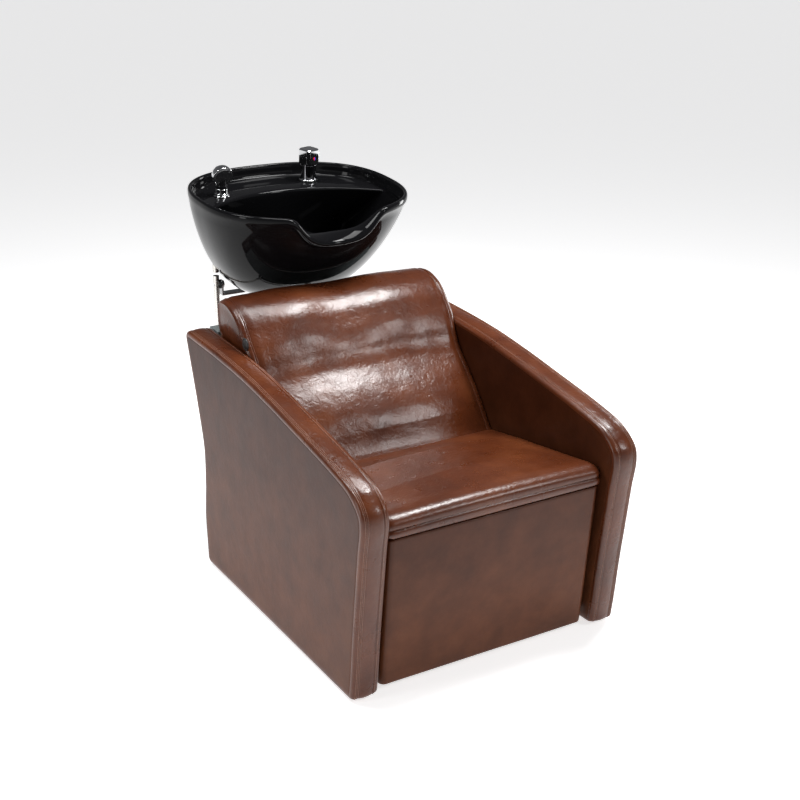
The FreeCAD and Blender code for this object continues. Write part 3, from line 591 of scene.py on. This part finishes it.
rings += end_cap(-1)
for d, inset in BACK_END:
    rings.append(back_ring(-BACK_HALF + d, inset, 0.15))
for x in np.linspace(-BACK_HALF + 31, BACK_HALF - 31, 58):
    rings.append(back_ring(x, -2.6, min(1.0, (BACK_HALF - abs(x) - 20) / 50)))
for d, inset in reversed(BACK_END):
    rings.append(back_ring(BACK_HALF - d, inset, 0.15))
rings += reversed(end_cap(1))
verts, faces = stack_rings(rings, False)
back = link_mesh("back_cushion_look", verts, faces, "chair", "leather")
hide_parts("back_cushion")

TAG_FACE, TAG_Y, TAG_Z = 285.5, 611, 627
# The tag's raised rim and face as (height, radius).
TAG_STEPS = (
    (0.0, 14.0), (2.6, 15.5), (3.6, 15.2), (4.1, 14.4), (4.1, 12.6), (3.7, 12.2), (3.7, 11.4), (4.1, 11.0),
    (4.2, 3.0),
)
circle = [(math.cos(2 * math.pi * k / 48), math.sin(2 * math.pi * k / 48)) for k in range(48)]
rings = []
for out, radius in TAG_STEPS:
    x = -(TAG_FACE + out) * MM
    rings.append(np.array([(x, (TAG_Y + radius * c) * MM + FRONT_Y, (TAG_Z + radius * h) * MM) for c, h in circle]))
verts, faces = stack_rings(rings, False)
tag = link_mesh("side_tag_look", verts, faces, "chair", "tag")
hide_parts("side_tag")

# ---------------------------------------------------------------- bowl
PITCH = math.radians(5.8)
COS, SIN = math.cos(PITCH), math.sin(PITCH)
DEPTH, WALL, POWER, EXPONENT = 280.0, 11.0, 1.367, 2.5
HALF_X, HALF_V = 272.0, 243.0
RIM_Y, RIM_Z = 890, 919
DRAIN_V, DRAIN_RADIUS, BASE_SCALE = 85, 24, 0.364
NOTCH_SCOOP, NOTCH_SPREAD, NOTCH_FADE = 58.0, 72.0, 150
LEDGE_W, LEDGE_V, LEDGE_CURVE, LEDGE_BLEND = 33.0, 108.0, 140.0, 24.0


def bowl_point(x, v, w):
    """A point in the bowl's own tilted directions: across, rearward and down from the rim."""
    return (x * MM, (RIM_Y + v * COS + w * SIN) * MM + FRONT_Y, (RIM_Z + v * SIN - w * COS) * MM)


def wall_ratio(w):
    return math.sqrt(max(0.0, 1.0 - (max(w, 0.0) / DEPTH) ** POWER))


def outer_section(w):
    """Half width, front edge and rear edge of the outside at a depth."""
    scale = BASE_SCALE + 0.636 * wall_ratio(w)
    shift = DRAIN_V * w / DEPTH
    base_rear = DRAIN_V + BASE_SCALE * HALF_V
    upright = HALF_V - w * math.tan(PITCH)
    rear = base_rear + (upright - base_rear) * math.sqrt(max(0.0, 1.0 - (max(w, 0) / DEPTH) ** 5.0))
    return scale * HALF_X, shift - scale * HALF_V, rear


def section(turn, w, wall, scoop=0.0, ledge=None):
    """A point of the level section at a depth, drawn in by the wall and scooped back at the neck."""
    half_x, front, rear = outer_section(w)
    half_x, front, rear = half_x - wall, front + wall, rear - wall
    c, s = math.cos(turn), math.sin(turn)
    x = half_x * math.copysign(abs(c) ** (2 / EXPONENT), c)
    v = (rear + front) / 2 + (rear - front) / 2 * math.copysign(abs(s) ** (2 / EXPONENT), s)
    fade = max(0.0, 1.0 - max(w, 0.0) / NOTCH_FADE)
    if s < 0:
        v += scoop * fade * math.exp(-((x / NOTCH_SPREAD) ** 2))
    if ledge is not None:
        edge = ledge - LEDGE_CURVE * fade * (x / half_x) ** 2
        v = (v + edge - math.sqrt((v - edge) ** 2 + LEDGE_BLEND**2)) / 2
    return x, v


def basin(turn, w):
    """A point of the deep basin in front of the rear ledge."""
    depth = DEPTH * (w + 4.0) / 266.0
    ledge = LEDGE_V + 37.0 * (1 - wall_ratio(depth))
    return section(turn, depth, WALL, NOTCH_SCOOP, ledge)


OUTER_SCOOP = 30.0
NOTCH_X = (0, 20, 40, 60, 78, 92, 102, 112, 124, 140, 165, 200)
NOTCH_W = (60, 59.5, 57, 52, 43, 31, 19, 9, 3.5, 1.5, 0.5, 0)


def dip(x, s):
    """How far the neck notch lowers the rim."""
    if s >= 0:
        return 0.0
    return sum(np.interp(abs(x) + shift, NOTCH_X, NOTCH_W) for shift in (-8, -4, 0, 4, 8)) / 5


def bowl_profile(turn):
    """One slice of the bowl: up inside from the drain, over the rim, and down outside."""
    c, s = math.cos(turn), math.sin(turn)
    line = []
    for mix in (0.0, 0.12, 0.35, 0.7, 0.92):
        fx, fv = basin(turn, 261.0)
        floor_x = (1 - mix) * DRAIN_RADIUS * c + mix * fx
        floor_v = (1 - mix) * (DRAIN_V + DRAIN_RADIUS * s) + mix * fv
        line.append((floor_x, floor_v, 262.0 - 0.4 * mix))
    rim_x = section(turn, 0, WALL)[0]
    top = dip(rim_x, s)
    ledge_w = LEDGE_W + max(0.0, top - 18.0)
    start = 259.0
    for k in range(15):
        w = start + (ledge_w + 9.0 - start) * (k / 14.0) ** 0.8
        line.append((*basin(turn, w), w))
    bx, bv = basin(turn, ledge_w + 1)
    tx, tv = section(turn, ledge_w, WALL, NOTCH_SCOOP)
    length = math.hypot(tx - bx, tv - bv) + 1e-6
    for step, w in ((1.2, ledge_w + 4.0), (4.5, ledge_w + 1.0), (10.0, ledge_w)):
        mix = min(step / length, 0.4) if length > 1 else 0.0
        line.append((bx + (tx - bx) * mix, bv + (tv - bv) * mix, w))
    for mix in (0.55, 0.8):
        line.append((bx + (tx - bx) * mix, bv + (tv - bv) * mix, ledge_w - 0.6 * mix))
    for step, rise in ((9.0, 1.2), (3.0, 2.6), (0.6, 6.0)):
        mix = 1 - min(step / length, 0.15) if length > 1 else 1.0
        line.append((bx + (tx - bx) * mix, bv + (tv - bv) * mix, ledge_w - rise))
    for k in range(1, 4):
        w = ledge_w - 6.0 + (top + 8.0 - ledge_w + 6.0) * k / 3.0
        line.append((*section(turn, w, WALL, NOTCH_SCOOP), w))
    ix, iv = section(turn, top + 2.0, WALL, NOTCH_SCOOP)
    lip = math.exp(-((abs(rim_x) / 150.0) ** 3)) if s < 0 else 0.0
    ox, ov = section(turn, 0.0, 0.5 - 2.5 * lip)
    if s < 0:
        ov += OUTER_SCOOP * (1 - top / NOTCH_FADE) * math.exp(-((ox / NOTCH_SPREAD) ** 2))
    drop = 11.0 * lip * top / 61.0
    # Over the rim as (part of the way out, depth, how far drawn to the outer wall).
    over = (
        (0.02, top + 4.0, 0), (0.1, top + 1.0, 0), (0.28, top - 1.5, 0), (0.5, top - 2.0 + drop * 0.3, 0),
        (0.72, top - 1.5 + drop * 0.62, 0), (0.9, top + 0.8 + drop * 0.88, 0), (0.985, top + 4.0 + drop, 0),
        (1.0, top + 8.0 + drop, 0.02), (1.0, top + 11.5 + drop, 0.1), (1.0, top + 14.5 + drop, 0.3),
    )
    for mix, w, tuck in over:
        px, pv = ix + (ox - ix) * mix, iv + (ov - iv) * mix
        wx, wv = section(turn, w, 0.0, OUTER_SCOOP)
        line.append((px + (wx - px) * tuck, pv + (wv - pv) * tuck, w))
    under = top + drop + 20.0
    for k in range(22):
        w = under + (277.0 - under) * (k / 21.0) ** 0.85
        line.append((*section(turn, w, 0.0, OUTER_SCOOP), w))
    bx, bv = section(turn, 279.0, 4.0)
    line.append((bx, bv, 279.6))
    for mix in (0.1, 0.4, 0.75, 1.0):
        under_x = bx * (1 - mix) + DRAIN_RADIUS * c * mix
        under_v = bv * (1 - mix) + (DRAIN_V + DRAIN_RADIUS * s) * mix
        line.append((under_x, under_v, DEPTH))
    line.append((DRAIN_RADIUS * c, DRAIN_V + DRAIN_RADIUS * s, 272.0))
    return line


BOWL_TURNS = 400
POST_X, POST_Y, POST_RADIUS = 0.192, 1.0, 0.008
slices = [bowl_profile(2 * math.pi * k / BOWL_TURNS) for k in range(BOWL_TURNS)]
rings = [np.array([bowl_point(*line[j]) for line in slices]) for j in range(len(slices[0]))]
verts, faces = stack_rings(rings, True)
bowl = link_mesh("bowl_look", verts, faces, "bowl", "glaze")
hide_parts("bowl")
for side, sign in (("right", -1), ("left", 1)):
    path = [(sign * POST_X, FRONT_Y + POST_Y, z) for z in (0.703, 0.712, 0.727)]
    stub = tube("bowl_lug_" + side, path, POST_RADIUS, "bowl", "bright_steel")


# ---------------------------------------------------------------- hard parts
def eased(name, width):
    """The CAD piece with its hard edges eased, so that they catch the light."""
    node = NODES[name]
    obj = bpy.data.objects.new(name + "_look", node.data.copy())
    bpy.context.scene.collection.objects.link(obj)
    bm = bmesh.new()
    bm.from_mesh(obj.data)
    bmesh.ops.remove_doubles(bm, verts=bm.verts, dist=1e-6)
    bmesh.ops.dissolve_limit(bm, angle_limit=math.radians(0.5), verts=bm.verts, edges=bm.edges)
    bm.to_mesh(obj.data)
    bm.free()
    bevel = obj.modifiers.new("ease", "BEVEL")
    bevel.width = width
    bevel.segments = 3
    bevel.limit_method = "ANGLE"
    bevel.angle_limit = math.radians(38)
    obj.data.polygons.foreach_set("use_smooth", [True] * len(obj.data.polygons))
    smooth = obj.modifiers.new("corners", "WEIGHTED_NORMAL")
    smooth.keep_sharp = False
    paint(obj, NODE_LOOK.get(name, SLOT_LOOK[NODE_SLOT[name]]))
    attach(obj, node["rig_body"])
    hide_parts(name)


EASED_EDGES = (
    ("mixer_base_ring", 0.0018), ("mixer_body", 0.0006), ("mixer_lever", 0.0014), ("shower_head_shell", 0.0012),
    ("shower_handle", 0.0006), ("hose_nut", 0.0005), ("spray_plate", 0.0006), ("shower_sleeve", 0.0012),
    ("tilt_knob", 0.0012), ("stand_base_plate", 0.0008), ("rear_top_cover", 0.0015), ("rear_access_panel", 0.0012),
    ("rear_upper_panel", 0.0012), ("tilt_yoke", 0.0008),
)
for name, width in EASED_EDGES:
    eased(name, width)

# ---------------------------------------------------------------- stage, light and camera
bpy.ops.mesh.primitive_plane_add(size=60, location=(0, 0, 0))
floor = bpy.context.object
floor.name = "floor"
floor_mat, _, _, floor_shader = new_material("floor")
floor_shader.inputs["Base Color"].default_value = (0.86, 0.86, 0.86, 1)
floor_shader.inputs["Roughness"].default_value = 0.6
floor_shader.inputs["Specular IOR Level"].default_value = 0.1
floor_shader.inputs["Emission Color"].default_value = (1, 1, 1, 1)
floor_shader.inputs["Emission Strength"].default_value = 0.7
floor.data.materials.append(floor_mat)

scene = bpy.context.scene
world = bpy.data.worlds.new("studio")
scene.world = world
world.use_nodes = True
sky, sky_links = world.node_tree.nodes, world.node_tree.links
sky_coords = sky.new("ShaderNodeTexCoord")
sky_split = sky.new("ShaderNodeSeparateXYZ")
sky_links.new(sky_coords.outputs["Generated"], sky_split.inputs[0])
SKY_STOPS = [
    (0.0, (1.0, 1.0, 1.0)), (0.04, (0.6, 0.6, 0.6)), (0.22, (0.13, 0.13, 0.135)), (1.0, (0.07, 0.07, 0.075)),
]
sky_colour = ramp(sky, sky_links, sky_split.outputs["Z"], SKY_STOPS)
sky_links.new(sky_colour, sky["Background"].inputs["Color"])
sky["Background"].inputs["Strength"].default_value = 1.0


def area_light(name, location, target, size, power):
    """A soft rectangular lamp aimed at a point."""
    data = bpy.data.lights.new(name, "AREA")
    data.shape = "RECTANGLE"
    data.size, data.size_y = size
    data.energy = power
    light = bpy.data.objects.new(name, data)
    scene.collection.objects.link(light)
    light.location = location
    light.rotation_euler = (Vector(location) - Vector(target)).to_track_quat("Z", "Y").to_euler()


area_light("key", (0.85, -0.25, 2.5), (0.0, 0.0, 0.5), (0.6, 0.5), 46)
area_light("top", (0.2, 0.2, 2.9), (0.0, 0.0, 0.5), (1.1, 0.8), 40)
area_light("front", (1.6, -2.4, 2.2), (0.0, 0.0, 0.5), (0.5, 0.7), 22)
area_light("fill", (-2.9, -0.4, 1.3), (0.0, 0.0, 0.5), (0.5, 1.4), 16)
area_light("rim", (2.6, 0.6, 1.0), (0.0, 0.2, 0.8), (0.5, 1.4), 30)
area_light("left_top", (-1.2, 0.4, 2.6), (0.0, 0.1, 0.6), (0.5, 0.9), 26)

CAMERA_PLACE, CAMERA_LENS = (-1.490, -2.6909, 1.575), 60.13
azimuth, elevation, roll = math.radians(-30.38), math.radians(20.01), math.radians(-0.525)
level = math.cos(elevation)
toward = Vector((math.sin(azimuth) * level, -math.cos(azimuth) * level, math.sin(elevation)))
right = Vector((0, 0, 1)).cross(toward).normalized()
up = toward.cross(right)
turned_right = math.cos(roll) * right + math.sin(roll) * up
turned_up = -math.sin(roll) * right + math.cos(roll) * up
camera_data = bpy.data.cameras.new("camera")
camera_data.lens = CAMERA_LENS
camera_data.sensor_width = 36.0
camera = bpy.data.objects.new("camera", camera_data)
scene.collection.objects.link(camera)
matrix = Matrix.Identity(4)
for row in range(3):
    matrix[row][0], matrix[row][1], matrix[row][2] = turned_right[row], turned_up[row], toward[row]
matrix[0][3], matrix[1][3], matrix[2][3] = CAMERA_PLACE
camera.matrix_world = matrix
scene.camera = camera
scene.view_settings.view_transform = "Standard"
